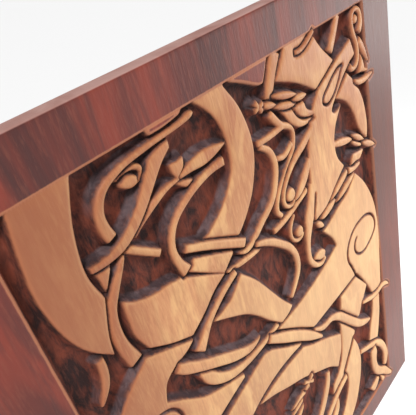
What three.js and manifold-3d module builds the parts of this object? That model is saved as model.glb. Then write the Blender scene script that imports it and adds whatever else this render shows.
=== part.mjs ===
// Carved wood wall sign: one board with a flat raised border and a sunk field
// in which ribbons and tendrils weave over and under each other.
//
// Units are millimetres, +Z is up. The board stands upright with its carved
// face towards -Y. The origin is the middle of its flat back.

import * as THREE from 'three';
import { mergeVertices } from 'three/addons/utils/BufferGeometryUtils.js';
import Module from 'manifold-3d';

// Driving dimensions

const BOARD = { width: 525, height: 600, thickness: 18.5, chamfer: 1.2 };
const BORDER = { side: 56.5, top: 38.5, bottom: 35.5 };
const FLOOR_DEPTH = 10.0;         // how far the field is sunk below the highest wood
const BORDER_DROP = 0.8;          // the border lies this far below the highest wood
const LEVEL_DROP = { 5: 0, 4: 0.5, 3: 1.1, 2: 1.8 };   // drop of each layer of the weave
const GROOVE = { width: 2.6, depth: 2.5 };
const TIE = { spread: 33, endWidth: 5.5, middleWidth: 3.6 };   // spread in degrees

// A braid's turn: how far along it, and how wide there as a share of its width
const LEAF_SHAPE = [[0, 0.16], [0.25, 0.8], [0.5, 1], [0.75, 0.8], [1, 0.16]];

// How finely the solids are made

const ROOT = 1.5;                 // how far a ribbon's solid reaches into the floor
const CUT_OVERSHOOT = 1.0;        // how far a cutting solid stands above the wood
const OUTLINE_TOLERANCE = 0.32;   // how far an outline may stray from its smooth curve
const SAMPLE_STEP = 1.5;          // distance between samples of a curve before it is thinned
const CIRCLE_SIDES = { fewest: 10, perMillimetreOfRadius: 2 };
const SAME_POINT = 1e-4;          // corners closer than this are one corner

// The drawing. Places are in millimetres from the board's top left corner,
// x to the right and y down, as a carver would mark them on the blank.

// A ribbon is a level and a middle line of [x, y, width].
// An eye is the round end of a curl: [x, y, radius].
const RIBBONS = {
  top_loop: { level: 4, line: [[218, 44, 3], [214, 45, 5.5], [201, 47, 4.8], [171, 48.5, 5],
    [146, 51.5, 5.5], [129.5, 58.5, 7], [122.5, 70.5, 8], [122.5, 81, 8.5], [125, 90, 9]] },
  small_curl: { level: 3, line: [[141, 57.5, 3], [148, 55, 3.8], [157.5, 55.5, 4.2], [162.5, 60, 4.4],
    [160.5, 65, 3.5], [156.5, 67.5, 2]] },
  small_eye: { level: 3, line: [[142.5, 61.5, 2], [146, 62.5, 6], [150.5, 63, 9.3], [154.5, 64, 8],
    [157.5, 64.5, 5]] },
  leaf_stem: { level: 3, line: [[140, 99.5, 4], [151, 92, 6.5], [164.5, 86.5, 6.5], [177.5, 83, 5],
    [190.5, 82, 3.5]] },
  leaf_blade: { level: 3, line: [[190.5, 82, 3.5], [204.5, 80, 9], [218.5, 80, 12], [231, 80, 8],
    [243, 80, 1.2]] },
  side_bar: { level: 3, line: [[131, 102.5, 6], [143, 112.5, 6.5], [156, 123, 6.5]] },
  hook: { level: 4, line: [[236.5, 92, 8], [221, 92, 7], [206, 94.5, 7], [191, 99.5, 7],
    [177, 107, 7], [169, 117, 7], [166, 129, 7], [168.5, 142, 8], [173, 152, 11]] },
  left_tendril: { level: 3, line: [[128, 105, 3], [122, 112, 6], [113, 123, 8], [105.5, 134.5, 9],
    [102.5, 148.5, 9.5], [103, 165, 10], [107.5, 184, 12]] },
  drop_tendril: { level: 3, line: [[84, 159.5, 6.5], [83.5, 170, 7], [80.5, 180, 7], [75.5, 188, 5],
    [71.5, 193, 2.5]] },
  long_bar: { level: 4, line: [[176, 134, 7], [196, 144.5, 8], [217, 157, 8.5], [238.5, 170.5, 9]] },
  right_hook: { level: 3, line: [[229, 175.5, 2], [238, 179, 5.5], [248, 176.5, 7], [264, 167, 8],
    [283, 156, 8], [292.5, 141.5, 8], [296.5, 125.5, 7.5], [291.5, 111.5, 7], [280, 102.5, 5]] },
  lower_hook: { level: 3, line: [[210.5, 182, 3], [227, 185, 6], [245, 187.5, 5.5], [263, 189, 3]] },
  arch: { level: 4, line: [[250.5, 181.5, 5], [260.5, 186, 7], [273, 194, 8], [285.5, 205, 8],
    [295, 215, 8], [301, 226, 8], [303, 237, 8], [301, 247, 7.5], [294.5, 256.5, 7],
    [282.5, 268.5, 6]] },
  fan_tendril: { level: 4, line: [[220, 187.5, 6], [204, 193, 7], [189, 200.5, 7], [177, 208.5, 8],
    [168, 217.5, 10], [160, 225.5, 13]] },
  loop_bar: { level: 4, line: [[135, 220, 8], [142, 226.5, 11], [157, 238.5, 11], [176, 251.5, 11.5],
    [196, 264.5, 11.5], [212, 272, 8.5], [221, 273, 5.5], [230, 271, 1.5]] },
  loop_arc: { level: 3, line: [[156, 245.5, 8], [162, 258, 12], [172, 269.5, 11.5], [186.5, 278.5, 10],
    [206.5, 283.5, 8], [232, 284, 6.5], [262, 281, 5]] },
  outer_tendril: { level: 3, line: [[300.5, 82, 8], [306.5, 90, 7.5], [313.5, 98, 7], [322.5, 103, 6],
    [328, 108.5, 5], [328.5, 115.5, 5], [324.5, 125.5, 6], [314.5, 136.5, 7], [303.5, 146, 7],
    [294, 155, 6.5], [289, 163.5, 6], [288, 171, 6], [293.5, 179, 5.5]] },
  upper_spur: { level: 3, line: [[278, 99.5, 6], [296.5, 100.5, 6.5], [316.5, 100, 6]] },
  lower_spur: { level: 3, line: [[299.5, 123.5, 5], [310.5, 126, 6.5], [324.5, 119.5, 6]] },
  upper_curl: { level: 4, line: [[359, 119, 6], [350, 124, 8], [340, 129, 9.5], [329, 134, 8],
    [317.5, 140.5, 6.5], [307.5, 149, 5.5], [300.5, 158, 5], [298.5, 166.5, 5], [301.5, 173, 4.5],
    [308.5, 176, 4], [314.5, 173, 3.5]], eye: [310, 165.5, 6.8] },
  side_leaf: { level: 4, line: [[314.5, 174.5, 3], [325, 168.5, 10], [336, 159, 11], [346, 146, 6]] },
  middle_bar: { level: 3, line: [[277.5, 186, 6.5], [292.5, 185, 6.5], [307.5, 182.5, 6],
    [322.5, 178.5, 6],
    [337.5, 175, 6]] },
  middle_curl: { level: 3, line: [[310.5, 187, 3.5], [305, 192.5, 4.5], [301.5, 199, 4.5],
    [301, 206.5, 4.5], [304, 213, 4.5], [310, 217, 4.5], [316.5, 216.5, 4],
    [320.5, 212.5, 3.5]], eye: [314.5, 209.5, 6] },
  lower_curl: { level: 4, line: [[344, 171.5, 8], [339.5, 189.5, 13], [333, 204.5, 16],
    [329, 215.5, 12],
    [325, 227.5, 8.5], [323, 239.5, 7.5], [323.5, 250.5, 7.5], [328, 259, 7],
    [334.5, 265.5, 6], [342.5, 268.5, 5.5], [350.5, 264.5, 5]] },
  lower_eye: { level: 4, line: [[330, 254.5, 3], [336, 255, 9], [343, 257.5, 12.5], [350, 261, 8]] },
  top_strip: { level: 3, line: [[320.5, 37, 15], [311.5, 53, 11.5], [302.5, 71, 11]] },
  corner_strip: { level: 3, line: [[422.5, 37, 9], [415, 49, 9.5], [403, 66, 10]] },
  cuff: { level: 5, line: [[347, 47.5, 4.2], [355, 48, 4.8], [365.5, 45, 5], [378.5, 38, 5]] },
  spiral_stem: { level: 5, line: [[435.5, 90.5, 7], [439.5, 95, 5.5], [446.5, 94.5, 6],
    [451.5, 88.5, 6.5],
    [453, 80.5, 6.5], [451.5, 71.5, 6], [448, 62.5, 6], [446, 53.5, 5.5], [447.5, 45.5, 5],
    [453.5, 41.5, 5], [460.5, 43, 5.5], [464, 49.5, 6], [463, 57.5, 8],
    [458.5, 64.5, 9.5]], eye: [453.5, 50.5, 4.6] },
  beak: { level: 5, line: [[442.5, 108, 3], [451.5, 112.5, 6.5], [462.5, 114, 7.5], [472.5, 113.5, 6.5],
    [481.5, 112.5, 2]] },
  beak_ridge: { level: 4, line: [[460.5, 104, 3], [470.5, 106, 4.5], [482.5, 111.5, 2]] },
  outer_feather: { level: 5, line: [[456.5, 70.5, 7], [461.5, 77.5, 8.5], [466.5, 86.5, 7.5],
    [473.5, 98.5, 2.5]] },
  inner_feather: { level: 4, line: [[460.5, 85, 2], [460, 93, 7], [459.5, 100, 12], [459, 105, 15]] },
  long_strap: { level: 4, line: [[239.5, 286, 9], [263.5, 305, 13], [286.5, 324, 13], [305.5, 342, 11],
    [323, 358.5, 4]] },
  long_tendril: { level: 4, line: [[310.5, 337, 3], [326, 348, 8], [345, 351, 8.5],
    [360, 360.5, 11], [374, 376.5, 11], [389, 394.5, 11.5], [404, 410.5, 11], [418.5, 420, 9],
    [429.5, 424.5, 4]] },
  leg_tendril: { level: 5, line: [[414.5, 385.5, 4], [425.5, 389.5, 7], [438.5, 395, 7.5],
    [453.5, 398, 7.5],
    [467.5, 397.5, 8], [477.5, 401.5, 7], [485.5, 408.5, 3]] },
  corner_tendril: { level: 4, line: [[397, 457, 7], [410, 463.5, 8], [426.5, 471.5, 9],
    [439.5, 479, 10],
    [450, 489, 11], [458, 502, 11.5], [462.5, 515, 12], [463, 528, 13],
    [459.5, 540, 10], [454.5, 546.5, 5]] },
  leg_tail: { level: 5, line: [[429.5, 481, 14], [430.5, 492, 17], [429, 504, 14.5], [430.5, 516, 13.5],
    [435.5, 529, 13], [444.5, 540, 13], [454.5, 549, 13], [464.5, 562, 11], [475.5, 575, 6]] },
  inner_tendril: { level: 4, line: [[322, 416.5, 7], [318.5, 429.5, 10.5], [310.5, 444.5, 11.5],
    [299.5, 459, 12], [285.5, 472, 12], [263.5, 485, 12], [237.5, 491, 12], [209, 487, 12],
    [183, 473, 12], [159, 459, 12], [130.5, 450, 12], [102.5, 450, 11], [80.5, 460, 10],
    [69.5, 477, 9], [73.5, 494, 8], [85.5, 499, 7], [92.5, 493, 6]], eye: [87, 485, 8] },
  arm: { level: 4, line: [[360, 462, 9], [343, 466, 10], [327, 473, 10.5], [309.5, 484, 11],
    [291.5, 499, 12], [267.5, 515, 13], [237.5, 526, 14], [205, 532, 14], [173, 531, 13],
    [143, 533, 12], [114.5, 544.5, 11], [90.5, 551.5, 10], [72.5, 542.5, 9], [67.5, 525, 8],
    [77.5, 514, 7], [88.5, 519, 6]], eye: [84, 527, 8] },
  inner_arc: { level: 3, line: [[333.5, 478, 6], [328.5, 492.5, 13], [314.5, 507.5, 15],
    [294.5, 523.5, 14],
    [270, 535.5, 11], [248, 541.5, 4]] },
  tail_tendril: { level: 5, line: [[66.5, 353.5, 5], [84.5, 369.5, 10], [108.5, 389.5, 11],
    [134.5, 413.5, 11], [160.5, 433.5, 11], [186.5, 442, 10], [206.5, 433.5, 8], [212.5, 420.5, 7],
    [207.5, 411, 6], [200.5, 410.5, 5]], eye: [199, 417.5, 7] },
  left_leaf: { level: 4, line: [[62.5, 386.5, 2], [69.5, 400.5, 9], [73.5, 416.5, 11],
    [71.5, 434.5, 2]] },
  left_curl: { level: 4, line: [[58.5, 324, 4], [65.5, 338, 7], [77.5, 347, 7], [90.5, 343, 6],
    [91.5, 335, 5]], eye: [83.5, 336, 5] },
};

// A plate is a level and its edge. Each row of the edge starts at a corner and
// runs as a smooth curve to the first point of the next row.
const PLATES = {
  sleeve: { level: 3, edge: [
    [[315.5, 85]],
    [[333.5, 91], [338.5, 100], [346.5, 107.5], [358, 110.5]],
    [[374, 112], [365, 114.5], [352.5, 114.5], [337.5, 111], [324.5, 99.5]]] },
  sleeve_fold: { level: 4, edge: [
    [[334, 91.5]],
    [[350, 90.5], [353, 99], [359, 103.5]],
    [[372, 107], [362, 109.5], [350, 106.5], [340, 100.5]]] },
  hoof: { level: 4, edge: [
    [[189.5, 51.5]],
    [[189.5, 57.5], [179, 64.5], [167, 76], [154, 88], [142, 96.5], [130.5, 102], [116.5, 103.5]],
    [[102.5, 102]],
    [[102.5, 97], [118.5, 97], [131.5, 92], [147, 81], [160, 67.5]],
    [[169.5, 56], [179, 53]]] },
  crescent: { level: 4, edge: [
    [[71.5, 36.5], [66.5, 73], [65.5, 96], [71.5, 129], [80.5, 148]],
    [[94.5, 164.5], [96.5, 149], [104.5, 122]],
    [[104.5, 122], [99.5, 100], [103.5, 68.5]],
    [[114.5, 36.5]]] },
  wedge: { level: 3, edge: [[[104, 98.5]], [[119, 102.5]], [[107, 120.5]]] },
  great_ring: { level: 3, edge: [
    [[252, 37], [267, 64], [273, 98.5], [263, 129.5], [249, 147.5]],
    [[233, 160.5]],
    [[195.5, 140], [221.5, 125.5], [240, 104.5], [243.5, 79], [236, 56]],
    [[218.5, 37]]] },
  bud: { level: 3, edge: [[[188.5, 82], [185.5, 76]], [[184.5, 68.5]], [[192, 69.5]],
    [[199, 68.5], [197, 76]]] },
  lower_bud: { level: 3, edge: [[[185.5, 84], [194.5, 85.5]], [[204.5, 90]], [[196.5, 93],
    [190.5, 89]]] },
  shoulder: { level: 3, edge: [
    [[114, 133.5], [123, 140.5], [138, 146.5], [153, 149]],
    [[165.5, 152.5], [186.5, 166]],
    [[208.5, 180.5], [191.5, 187], [176.5, 197]],
    [[158.5, 206], [139, 196]],
    [[120, 183], [113.5, 165], [113, 149.5]]] },
  short_band: { level: 3, edge: [[[173.5, 153.5]], [[181.5, 146], [201.5, 156.5]], [[224, 169]],
    [[207.5, 180], [191.5, 168]]] },
  thigh: { level: 4, edge: [
    [[181, 211.5], [204, 207]],
    [[224, 192.5], [241.5, 213.5], [257.5, 239.5], [269.5, 259.5]],
    [[282.5, 277], [273.5, 281.5]],
    [[261.5, 283.5], [244.5, 265], [232.5, 249.5], [220, 236.5], [201, 223.5]]] },
  haunch: { level: 3, edge: [
    [[114, 187], [136, 198]],
    [[158.5, 209.5], [149, 214], [135, 216.5], [123, 223]],
    [[117, 238.5], [134, 253.5], [150, 268.5], [166.5, 277.5]],
    [[198.5, 291]],
    [[198.5, 295], [176.5, 300.5], [151, 307], [119, 314], [86.5, 308], [65.5, 285.5], [61.5, 252.5]],
    [[72.5, 220], [90.5, 202]]] },
  belly: { level: 3, edge: [
    [[254, 562], [206.5, 565], [161.5, 553.5], [123, 524.5], [99, 484], [89.5, 434], [95, 383.5],
        [113, 347], [141, 323], [181.5, 308]],
    [[228, 295], [238, 299], [264, 319]],
    [[288, 336], [264, 333.5], [237, 334], [216.5, 338], [201.5, 343], [175.5, 357],
        [149, 385.5], [131, 418.5], [126, 456], [138, 494.5], [164.5, 526.5], [205.5, 549.5]]] },
  body: { level: 3, edge: [
    [[254, 286.5], [302.5, 283.5], [342.5, 276]],
    [[373, 266.5], [368, 254.5]],
    [[351.5, 234.5], [365, 232], [384, 225.5], [405, 220]],
    [[427.5, 206], [443.5, 224], [457.5, 247.5], [466, 270.5], [469.5, 303], [468, 353]],
    [[465.5, 393.5], [452.5, 396]],
    [[440.5, 389.5], [432.5, 371.5], [422.5, 354]],
    [[409, 333], [365, 333.5]],
    [[310.5, 334], [282, 310]]] },
  leg_plate: { level: 3, edge: [[[368, 338]], [[406, 336], [417.5, 350.5]], [[430, 366.5],
    [417, 381.5]],
    [[401, 401.5], [383, 378.5]], [[365, 356]]] },
  lower_band: { level: 3, edge: [
    [[205.5, 345], [227, 341.5], [252, 339.5]],
    [[287, 341], [302.5, 352], [332.5, 369.5]],
    [[359, 387.5], [356, 408.5]],
    [[344.5, 431], [327.5, 414.5], [302.5, 397.5], [277, 380.5], [252, 367.5], [227, 354]]] },
  cross_band: { level: 2, edge: [
    [[362, 370.5], [376, 388.5]],
    [[392, 412], [386, 421]],
    [[356.5, 452.5], [349.5, 458.5]],
    [[326.5, 464.5], [330.5, 449.5], [342.5, 442], [352.5, 429], [358.5, 408]]] },
  great_arc: { level: 4, edge: [
    [[385, 418.5], [393, 438.5], [396.5, 461], [394, 481], [386, 505], [370, 531],
        [342, 550.5], [306.5, 559.5]],
    [[267.5, 560.5], [301.5, 548.5], [329, 525], [348, 503], [359, 481], [361, 463]],
    [[357, 451]]] },
  leg_lower: { level: 3, edge: [
    [[440.5, 402.5]],
    [[459.5, 402.5], [456.5, 434], [449.5, 462]],
    [[445.5, 474]],
    [[422.5, 460], [427.5, 441], [435.5, 423.5]]] },
  mask: { level: 3, edge: [
    [[332.5, 37]],
    [[375, 37], [387, 54]],
    [[409, 75.5]],
    [[377, 93], [344.5, 73]],
    [[314, 60], [322.5, 51]]] },
  neck_strap: { level: 4, edge: [
    [[360, 105], [373, 92], [392, 83.5], [414, 74.5]],
    [[440.5, 64.5]],
    [[447.5, 82], [422.5, 95]],
    [[399, 114], [387, 123], [368, 119]]] },
  upright: { level: 4, edge: [
    [[355, 115], [392, 109]],
    [[398, 114.5], [394.5, 119], [398, 123.5], [405, 123]],
    [[413, 120.5]],
    [[406, 127], [398, 137], [393, 151], [395, 169.5]],
    [[406, 185.5], [384, 198.5], [364, 210.5]],
    [[341.5, 215], [341, 193.5], [342.5, 166.5], [346, 139]]] },
  right_arc: { level: 3, edge: [
    [[405, 111.5]],
    [[430.5, 95], [444.5, 109.5], [456.5, 129.5], [462, 151.5], [462.5, 168]],
    [[459.5, 180], [449.5, 169], [442.5, 157.5], [436.5, 141.5], [424.5, 123.5]]] },
  clasp: { level: 4, edge: [[[421.5, 186.5]], [[425.5, 182.5]], [[449.5, 187]], [[439, 196],
    [430.5, 194]],
    [[419.5, 194.5]]] },
  clasp_knot: { level: 5, edge: [[[413.5, 192], [423.5, 196], [431.5, 196]], [[438.5, 197]],
    [[437.5, 201], [425.5, 202]],
    [[412.5, 200]]] },
  toe_left: { level: 3, edge: [[[413, 546.5]], [[434.5, 542.5]], [[441.5, 549.5]], [[433.5, 558],
    [423.5, 561]]] },
  toe_right: { level: 3, edge: [[[444.5, 551.5]], [[454.5, 555.5]], [[460.5, 564]], [[447.5, 568]]] },
};

// A braid is a row of leaf-shaped turns, each [x1, y1, x2, y2, width],
// and a tie whose loose ends cross: [x, y, length, angle in degrees].
const BRAIDS = {
  top_braid: { turns: [[291.5, 72, 311.5, 78.5, 6.5], [306, 69.5, 342, 81.5, 7],
    [307.5, 80, 341, 89.5, 7], [334, 84, 356, 87, 7]], tie: [287.5, 71, 13, 20] },
  right_braid: { turns: [[386, 153, 430.5, 166.5, 9], [427.5, 161, 452.5, 177.5, 7],
    [425.5, 168.5, 449.5, 183, 6], [447.5, 179.5, 476.5, 195, 8]] },
  lower_braid: { turns: [[373, 210, 418.5, 192, 8.5], [382.5, 217.5, 425.5, 204, 8],
    [350, 220.5, 383, 213, 9], [342, 218, 355, 229, 7.5]] },
  foot_braid: { turns: [[290.5, 398.5, 247.5, 402.5, 7.5], [271, 404.5, 245, 409.5, 5.5],
    [269.5, 413.5, 241.5, 432.5, 8], [259, 429.5, 227, 448, 9]], tie: [284, 393, 20, 5] },
};

// A lobe is a part of the border that hangs into the field, given as the edge of a plate
const LOBES = {
  wide_lobe: [[[257.5, 36.5]], [[260.5, 40], [272, 45], [285, 51.5], [293, 55]],
    [[298.5, 55.5], [303, 48]], [[309, 36.5]]],
  slim_lobe: [[[172, 36.5]], [[175.5, 43], [189.5, 43]], [[205.5, 41]], [[209.5, 36.5]]],
};

// A groove is a cut line in a plate, with the level it is cut from
const GROOVES = {
  hip_spiral: { level: 3, line: [[405.5, 332.5], [398.5, 315.5], [393, 303.5], [392, 293.5],
    [394.5, 285.5],
    [399.5, 278.5], [407, 272.5], [417, 269], [429, 268], [440, 269], [450, 273.5],
    [457, 280.5], [460.5, 289.5], [459, 298.5], [452, 305.5], [442.5, 310], [432, 313],
    [423, 312], [415.5, 308], [410.5, 301.5], [409, 294.5], [411.5, 287.5], [415, 284.5]] },
  curl_crease: { level: 4, line: [[346.5, 185.5], [343.5, 195.5], [340.5, 205.5], [338.5, 214.5]] },
  haunch_spiral: { level: 3, line: [[116.5, 310.5], [92.5, 297.5], [78.5, 277.5], [80.5, 254.5],
    [97.5, 241.5],
    [117.5, 247.5], [124.5, 264.5], [115.5, 280.5], [100.5, 279.5], [95.5, 268.5]] },
  strap_drop: { level: 4, line: [[421, 83], [412, 83.5], [401.5, 87.5], [389, 95], [380.5, 101],
    [379.5, 105.5], [384.5, 109.5], [391, 109.5], [401.5, 104], [410.5, 95], [416.5, 87.5],
    [421, 83.5]] },
};

// Curves and outlines

function asVectors(points) {
  return points.map(([x, y, third = 0]) => new THREE.Vector3(x, y, third));
}

function smoothLine(points) {
  const curve = new THREE.CatmullRomCurve3(asVectors(points), false, 'centripetal');
  return curve.getPoints(Math.ceil(curve.getLength() / SAMPLE_STEP));
}

// Drops every point that lies within the tolerance of the line between those kept
function thinned(points) {
  const first = points[0];
  const last = points[points.length - 1];
  const chord = new THREE.Line3(first, last);
  const foot = new THREE.Vector3();
  let farthest = 0;
  let distance = 0;
  for (let i = 1; i < points.length - 1; i += 1) {
    const off = points[i].distanceTo(chord.closestPointToPoint(points[i], true, foot));
    if (off > distance) {
      farthest = i;
      distance = off;
    }
  }
  if (distance < OUTLINE_TOLERANCE) return [first, last];
  const start = thinned(points.slice(0, farthest + 1));
  return [...start.slice(0, -1), ...thinned(points.slice(farthest))];
}

// The two sides of a ribbon, offset from its middle line by half its width
function ribbonOutline(line) {
  const middle = smoothLine(line);
  const left = [];
  const right = [];
  middle.forEach((point, i) => {
    const before = middle[Math.max(i - 1, 0)];
    const after = middle[Math.min(i + 1, middle.length - 1)];
    const along = new THREE.Vector2(after.x - before.x, after.y - before.y).normalize();
    const half = point.z / 2;
    left.push(new THREE.Vector3(point.x + along.y * half, point.y - along.x * half, 0));
    right.push(new THREE.Vector3(point.x - along.y * half, point.y + along.x * half, 0));
  });
  return [...thinned(left), ...thinned(right).reverse()];
}

function plateOutline(edge) {
  return edge.flatMap((row, i) => {
    const corner = edge[(i + 1) % edge.length][0];
    return thinned(smoothLine([...row, corner])).slice(0, -1);
  });
}

function circleOutline([x, y, radius]) {
  const { fewest, perMillimetreOfRadius } = CIRCLE_SIDES;
  const sides = Math.max(fewest, Math.round(radius * perMillimetreOfRadius));
  return Array.from({ length: sides }, (_, i) => {
    const angle = (2 * Math.PI * i) / sides;
    return new THREE.Vector3(x + radius * Math.cos(angle), y + radius * Math.sin(angle), 0);
  });
}

// A leaf shape from one point to another, widest in its middle
function leafOutline([x1, y1, x2, y2, width]) {
  return ribbonOutline(LEAF_SHAPE.map(([along, share]) =>
    [x1 + (x2 - x1) * along, y1 + (y2 - y1) * along, width * share]));
}

// Two loose ends that cross in the middle of a tie
function tieOutlines([x, y, length, angle]) {
  const { spread, endWidth, middleWidth } = TIE;
  return [angle - spread, angle + spread].map((degrees) => {
    const dx = (length / 2) * Math.cos(THREE.MathUtils.degToRad(degrees));
    const dy = (length / 2) * Math.sin(THREE.MathUtils.degToRad(degrees));
    return ribbonOutline([
      [x - dx, y - dy, endWidth], [x, y, middleWidth], [x + dx, y + dy, endWidth],
    ]);
  });
}

// Solids

const wasm = await Module();
wasm.setup();

function asManifold(geometry) {
  const bare = geometry.clone();
  bare.deleteAttribute('normal');
  bare.deleteAttribute('uv');
  const merged = mergeVertices(bare, SAME_POINT);
  return new wasm.Manifold(new wasm.Mesh({
    numProp: 3,
    vertProperties: new Float32Array(merged.attributes.position.array),
    triVerts: new Uint32Array(merged.index.array),
  }));
}

// Raises a prism on an outline of the drawing, between two heights over the back
function prism(outline, low, high) {
  const shape = new THREE.Shape(outline.map(({ x, y }) =>
    new THREE.Vector2(x - BOARD.width / 2, BOARD.height / 2 - y)));
  const geometry = new THREE.ExtrudeGeometry(shape, { depth: high - low, bevelEnabled: false });
  geometry.translate(0, 0, low);
  return asManifold(geometry);
}

const FLOOR = BOARD.thickness - FLOOR_DEPTH;

function raised(outline, level) {
  return prism(outline, FLOOR - ROOT, BOARD.thickness - LEVEL_DROP[level]);
}

function blank() {
  const { width, height, thickness, chamfer } = BOARD;
  const shape = new THREE.Shape();
  const right = width / 2 - chamfer;
  const top = height / 2 - chamfer;
  shape.moveTo(-right, -top).lineTo(right, -top).lineTo(right, top).lineTo(-right, top).closePath();
  const geometry = new THREE.ExtrudeGeometry(shape, {
    depth: thickness - BORDER_DROP - 2 * chamfer,
    bevelEnabled: true,
    bevelThickness: chamfer,
    bevelSize: chamfer,
    bevelSegments: 1,
  });
  geometry.translate(0, 0, chamfer);
  return asManifold(geometry);
}

function field() {
  const { width, height, thickness } = BOARD;
  const corners = [
    [BORDER.side, BORDER.top], [width - BORDER.side, BORDER.top],
    [width - BORDER.side, height - BORDER.bottom], [BORDER.side, height - BORDER.bottom],
  ];
  return prism(asVectors(corners), FLOOR, thickness + CUT_OVERSHOOT);
}

function ribbonSolids() {
  return Object.values(RIBBONS).flatMap(({ level, line, eye }) => {
    const solids = [raised(ribbonOutline(line), level)];
    if (eye) solids.push(raised(circleOutline(eye), level));
    return solids;
  });
}

function plateSolids() {
  return Object.values(PLATES).map(({ level, edge }) => raised(plateOutline(edge), level));
}

// The turns of a braid lie in two layers, so that each one shows over its neighbour
function braidSolids() {
  return Object.values(BRAIDS).flatMap(({ turns, tie }) => {
    const solids = turns.map((turn, i) => raised(leafOutline(turn), i % 2 ? 5 : 4));
    if (tie) tieOutlines(tie).forEach((outline) => solids.push(raised(outline, 5)));
    return solids;
  });
}

function grooveSolids() {
  return Object.values(GROOVES).map(({ level, line }) => {
    const top = BOARD.thickness - LEVEL_DROP[level];
    const outline = ribbonOutline(line.map(([x, y]) => [x, y, GROOVE.width]));
    return prism(outline, top - GROOVE.depth, top + CUT_OVERSHOOT);
  });
}

function lobeSolids() {
  return Object.values(LOBES).map((edge) =>
    prism(plateOutline(edge), FLOOR - ROOT, BOARD.thickness - BORDER_DROP));
}

function carvedBoard() {
  const raisedWood = [...lobeSolids(), ...plateSolids(), ...ribbonSolids(), ...braidSolids()];
  const whole = raisedWood.reduce((board, solid) => board.add(solid), blank().subtract(field()));
  return grooveSolids().reduce((board, groove) => board.subtract(groove), whole);
}

function asGeometry(manifold) {
  const { vertProperties, triVerts } = manifold.getMesh();
  const geometry = new THREE.BufferGeometry();
  geometry.setAttribute('position', new THREE.BufferAttribute(vertProperties, 3));
  geometry.setIndex(new THREE.BufferAttribute(triVerts, 1));
  // The drawing's up becomes +Z and its front becomes -Y
  geometry.rotateX(Math.PI / 2);
  return geometry;
}

const oiledWood = new THREE.MeshStandardMaterial({
  name: 'oiled_wood',
  color: 0xc98a5c,
  roughness: 0.5,
  metalness: 0,
});

const sign = new THREE.Group();
sign.name = 'carved_wood_wall_sign';
const board = new THREE.Mesh(asGeometry(carvedBoard()), oiledWood);
board.name = 'carved_board';
sign.add(board);

export default sign;
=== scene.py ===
import math

import bpy
import numpy as np
from mathutils import Matrix, Vector, noise
from mathutils.geometry import delaunay_2d_cdt
from mathutils.kdtree import KDTree


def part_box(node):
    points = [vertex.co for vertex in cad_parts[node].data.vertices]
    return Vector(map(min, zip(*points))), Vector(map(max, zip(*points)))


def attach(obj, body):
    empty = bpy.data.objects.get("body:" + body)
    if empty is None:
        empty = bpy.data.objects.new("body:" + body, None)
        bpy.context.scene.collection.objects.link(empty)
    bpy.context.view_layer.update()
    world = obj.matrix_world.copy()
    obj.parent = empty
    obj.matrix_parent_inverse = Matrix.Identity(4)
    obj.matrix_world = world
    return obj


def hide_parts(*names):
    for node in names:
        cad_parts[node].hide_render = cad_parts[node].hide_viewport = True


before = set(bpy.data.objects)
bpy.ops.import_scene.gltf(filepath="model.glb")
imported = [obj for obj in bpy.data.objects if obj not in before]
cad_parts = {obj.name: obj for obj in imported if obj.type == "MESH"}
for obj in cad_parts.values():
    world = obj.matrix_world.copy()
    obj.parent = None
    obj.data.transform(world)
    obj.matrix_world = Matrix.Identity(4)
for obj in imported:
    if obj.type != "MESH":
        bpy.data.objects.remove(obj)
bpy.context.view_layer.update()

# Driving dimensions of the board, in millimetres, as in the frame
LOW, HIGH = (np.array(corner) * 1000 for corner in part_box("carved_board"))
WIDTH = HIGH[0] - LOW[0]
HEIGHT = HIGH[2] - LOW[2]
THICKNESS = HIGH[1] - LOW[1]
BORDER_SIDE = 56.5
BORDER_TOP = 38.5
BORDER_BOTTOM = 35.5
FLOOR_DEPTH = 10.0
BORDER_DROP = 0.8
BORDER_LEVEL = 4.5
LEVEL_DROP = {5: 0.0, BORDER_LEVEL: BORDER_DROP, 4: 0.5, 3: 1.1, 2: 1.8}
FLOOR = THICKNESS - FLOOR_DEPTH

# How the knife leaves the wood, in millimetres
WALL_RUN = 5.5            # how far outwards a wall reaches before it meets the floor
WALL_FOOT = 1.0           # how softly surfaces run into each other
DIP_DEPTH = 2.8           # how far a ribbon sinks where another passes over it
DIP_REACH = 4.5           # how far from the upper ribbon that sinking starts
SEAM = 1.7                # width of the dark cut in a lower ribbon beside an upper one
GROOVE_HALF = 1.7
GROOVE_DEPTH = 3.0
ROUNDED_EDGE = 1.6        # radius along the board's outer edges
FLOOR_ROUGHNESS = 0.6
SURFACE_WAVE = 0.12

# Spacing of the mesh, in millimetres
ALONG = 2.15
OFFSETS = (2.8, 1.3, 0.5, 0.0, -0.5, -1.1, -1.9, -3.0, -4.6)
GROOVE_OFFSETS = (-1.9, -1.3, -0.65, 0.0, 0.65, 1.3, 1.9)
CLOSEST = 0.42
NEAR = 7.0
GRID = 2.6
GRID_CLEAR = 1.2
BORDER_CLEAR = 3.0
BORDER_GRID = 8.0
PERIMETER_STEP = 6.0

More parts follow.
